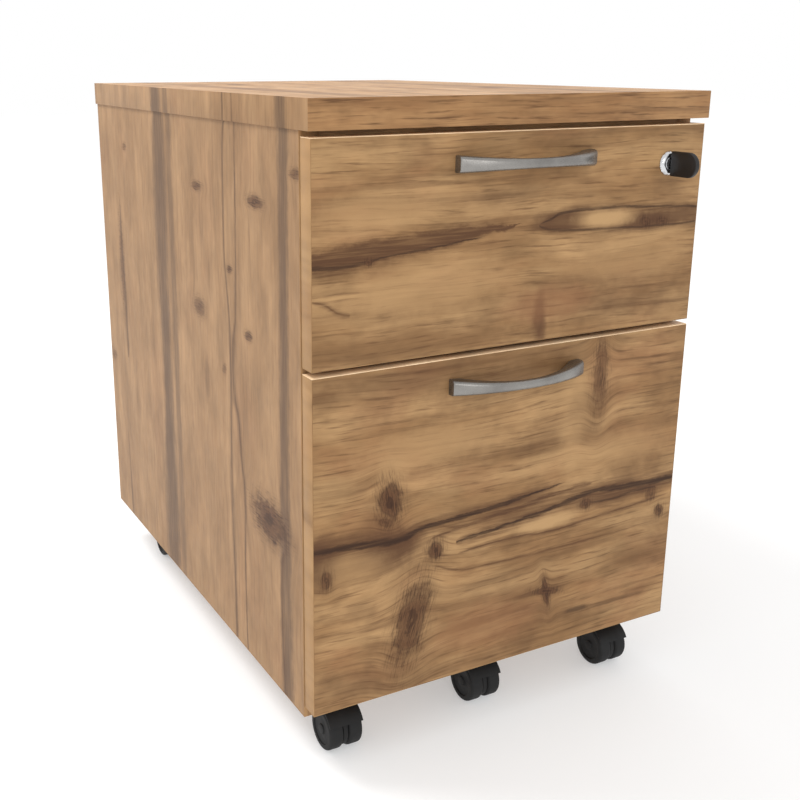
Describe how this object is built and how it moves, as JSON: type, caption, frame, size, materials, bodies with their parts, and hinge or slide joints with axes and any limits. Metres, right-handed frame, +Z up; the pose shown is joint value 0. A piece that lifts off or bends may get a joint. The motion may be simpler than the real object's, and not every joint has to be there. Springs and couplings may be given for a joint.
{
  "type": "rolling pedestal cabinet",
  "caption": "Rolling under-desk pedestal in rustic oak board with a box drawer over a filing drawer, bow handles, a key lock and twin-wheel castors.",
  "frame": {"origin": "on the floor under the middle of the whole object's box", "axes": "+Z up, front and drawers towards -Y, +X to the right of a person facing the front"},
  "size_m": [0.422, 0.635, 0.61],
  "materials": {
    "oak_board": "rustic knotty oak decor on board, matt",
    "drawer_board": "plain coated drawer board, matt",
    "beech_dowel": "raw beech",
    "zinc_fittings": "zinc plated",
    "runner_steel": "zinc plated, pressed",
    "handle_grey": "satin silver-grey",
    "lock_chrome": "polished nickel",
    "key_plastic": "black moulded plastic",
    "castor_plastic": "black moulded plastic",
    "castor_steel": "plated steel"
  },
  "bodies": {
    "cabinet": {"top_panel": "oak_board", "left_side_panel": "oak_board", "right_side_panel": "oak_board", "cross_rail": "oak_board", "back_panel": "oak_board", "base_panel": "oak_board", "panel_dowels": "beech_dowel", "panel_cams": "zinc_fittings", "cabinet_screws": "zinc_fittings", "cabinet_rails": "runner_steel", "locking_bar_guides": "key_plastic", "castor_plates": "castor_steel"},
    "top_drawer": {"top_drawer_front": "oak_board", "top_drawer_sides": "drawer_board", "top_drawer_back": "drawer_board", "top_drawer_bottom": "drawer_board", "top_drawer_rails": "runner_steel", "top_handle": "handle_grey", "top_handle_screws": "zinc_fittings", "lock_housing": "lock_chrome", "top_drawer_catch": "key_plastic"},
    "bottom_drawer": {"bottom_drawer_front": "oak_board", "bottom_drawer_sides": "drawer_board", "bottom_drawer_back": "drawer_board", "bottom_drawer_bottom": "drawer_board", "bottom_drawer_rails": "runner_steel", "bottom_handle": "handle_grey", "bottom_handle_screws": "zinc_fittings", "file_rails": "runner_steel", "bottom_drawer_catch": "key_plastic", "drawer_castor_bracket": "castor_steel"},
    "top_runner_middle": {"top_middle_rails": "runner_steel", "top_ball_cages": "runner_steel"},
    "bottom_runner_middle": {"bottom_middle_rails": "runner_steel", "bottom_ball_cages": "runner_steel"},
    "lock_core": {"lock_plug": "lock_chrome", "lock_cam": "zinc_fittings", "key_blade": "lock_chrome", "key_head": "key_plastic"},
    "lock_bar": {"locking_bar": "zinc_fittings"},
    "rear_left_castor": {"rear_left_castor_hood": "castor_plastic", "rear_left_castor_axle": "castor_steel"},
    "rear_left_castor_left_wheel_body": {"rear_left_castor_left_wheel": "castor_plastic"},
    "rear_left_castor_right_wheel_body": {"rear_left_castor_right_wheel": "castor_plastic"},
    "rear_right_castor": {"rear_right_castor_hood": "castor_plastic", "rear_right_castor_axle": "castor_steel"},
    "rear_right_castor_left_wheel_body": {"rear_right_castor_left_wheel": "castor_plastic"},
    "rear_right_castor_right_wheel_body": {"rear_right_castor_right_wheel": "castor_plastic"},
    "front_left_castor": {"front_left_castor_hood": "castor_plastic", "front_left_castor_axle": "castor_steel"},
    "front_left_castor_left_wheel_body": {"front_left_castor_left_wheel": "castor_plastic"},
    "front_left_castor_right_wheel_body": {"front_left_castor_right_wheel": "castor_plastic"},
    "front_right_castor": {"front_right_castor_hood": "castor_plastic", "front_right_castor_axle": "castor_steel"},
    "front_right_castor_left_wheel_body": {"front_right_castor_left_wheel": "castor_plastic"},
    "front_right_castor_right_wheel_body": {"front_right_castor_right_wheel": "castor_plastic"},
    "middle_castor": {"middle_castor_hood": "castor_plastic", "middle_castor_axle": "castor_steel"},
    "middle_castor_left_wheel_body": {"middle_castor_left_wheel": "castor_plastic"},
    "middle_castor_right_wheel_body": {"middle_castor_right_wheel": "castor_plastic"}
  },
  "joints": [
    {"name": "top_drawer_slide", "type": "slide", "parent": "cabinet", "child": "top_drawer", "axis": [0, -1, 0], "range_m": [0, 0.48]},
    {"name": "bottom_drawer_slide", "type": "slide", "parent": "cabinet", "child": "bottom_drawer", "axis": [0, -1, 0], "range_m": [0, 0.48]},
    {"name": "top_runner_middle_slide", "type": "slide", "parent": "cabinet", "child": "top_runner_middle", "axis": [0, -1, 0], "range_m": [0, 0.24]},
    {"name": "bottom_runner_middle_slide", "type": "slide", "parent": "cabinet", "child": "bottom_runner_middle", "axis": [0, -1, 0], "range_m": [0, 0.24]},
    {"name": "key_turn", "type": "hinge", "parent": "top_drawer", "child": "lock_core", "pos_m": [0.1665, -0.2805, 0.5445], "axis": [0, -1, 0], "range_deg": [0, 90]},
    {"name": "lock_bar_slide", "type": "slide", "parent": "cabinet", "child": "lock_bar", "axis": [0, 0, 1], "range_m": [0, 0.02121]},
    {"name": "rear_left_castor_swivel", "type": "hinge", "parent": "cabinet", "child": "rear_left_castor", "pos_m": [-0.164, 0.2515, 0.045], "axis": [0, 0, 1], "continuous": true},
    {"name": "rear_left_castor_left_wheel_spin", "type": "hinge", "parent": "rear_left_castor", "child": "rear_left_castor_left_wheel_body", "pos_m": [-0.164, 0.2335, 0.021], "axis": [1, 0, 0], "continuous": true},
    {"name": "rear_left_castor_right_wheel_spin", "type": "hinge", "parent": "rear_left_castor", "child": "rear_left_castor_right_wheel_body", "pos_m": [-0.164, 0.2335, 0.021], "axis": [1, 0, 0], "continuous": true},
    {"name": "rear_right_castor_swivel", "type": "hinge", "parent": "cabinet", "child": "rear_right_castor", "pos_m": [0.164, 0.2515, 0.045], "axis": [0, 0, 1], "continuous": true},
    {"name": "rear_right_castor_left_wheel_spin", "type": "hinge", "parent": "rear_right_castor", "child": "rear_right_castor_left_wheel_body", "pos_m": [0.164, 0.2335, 0.021], "axis": [1, 0, 0], "continuous": true},
    {"name": "rear_right_castor_right_wheel_spin", "type": "hinge", "parent": "rear_right_castor", "child": "rear_right_castor_right_wheel_body", "pos_m": [0.164, 0.2335, 0.021], "axis": [1, 0, 0], "continuous": true},
    {"name": "front_left_castor_swivel", "type": "hinge", "parent": "cabinet", "child": "front_left_castor", "pos_m": [-0.164, -0.2225, 0.045], "axis": [0, 0, 1], "continuous": true},
    {"name": "front_left_castor_left_wheel_spin", "type": "hinge", "parent": "front_left_castor", "child": "front_left_castor_left_wheel_body", "pos_m": [-0.164, -0.2405, 0.021], "axis": [1, 0, 0], "continuous": true},
    {"name": "front_left_castor_right_wheel_spin", "type": "hinge", "parent": "front_left_castor", "child": "front_left_castor_right_wheel_body", "pos_m": [-0.164, -0.2405, 0.021], "axis": [1, 0, 0], "continuous": true},
    {"name": "front_right_castor_swivel", "type": "hinge", "parent": "cabinet", "child": "front_right_castor", "pos_m": [0.164, -0.2225, 0.045], "axis": [0, 0, 1], "continuous": true},
    {"name": "front_right_castor_left_wheel_spin", "type": "hinge", "parent": "front_right_castor", "child": "front_right_castor_left_wheel_body", "pos_m": [0.164, -0.2405, 0.021], "axis": [1, 0, 0], "continuous": true},
    {"name": "front_right_castor_right_wheel_spin", "type": "hinge", "parent": "front_right_castor", "child": "front_right_castor_right_wheel_body", "pos_m": [0.164, -0.2405, 0.021], "axis": [1, 0, 0], "continuous": true},
    {"name": "middle_castor_swivel", "type": "hinge", "parent": "bottom_drawer", "child": "middle_castor", "pos_m": [0, -0.2175, 0.046], "axis": [0, 0, 1], "continuous": true},
    {"name": "middle_castor_left_wheel_spin", "type": "hinge", "parent": "middle_castor", "child": "middle_castor_left_wheel_body", "pos_m": [0, -0.2355, 0.022], "axis": [1, 0, 0], "continuous": true},
    {"name": "middle_castor_right_wheel_spin", "type": "hinge", "parent": "middle_castor", "child": "middle_castor_right_wheel_body", "pos_m": [0, -0.2355, 0.022], "axis": [1, 0, 0], "continuous": true}
  ],
  "couplings": [
    {"joint": "top_runner_middle_slide", "follows": "top_drawer_slide", "ratio": 0.5},
    {"joint": "bottom_runner_middle_slide", "follows": "bottom_drawer_slide", "ratio": 0.5},
    {"joint": "key_turn", "follows": "lock_bar_slide", "rad_per_m": 74.048}
  ]
}
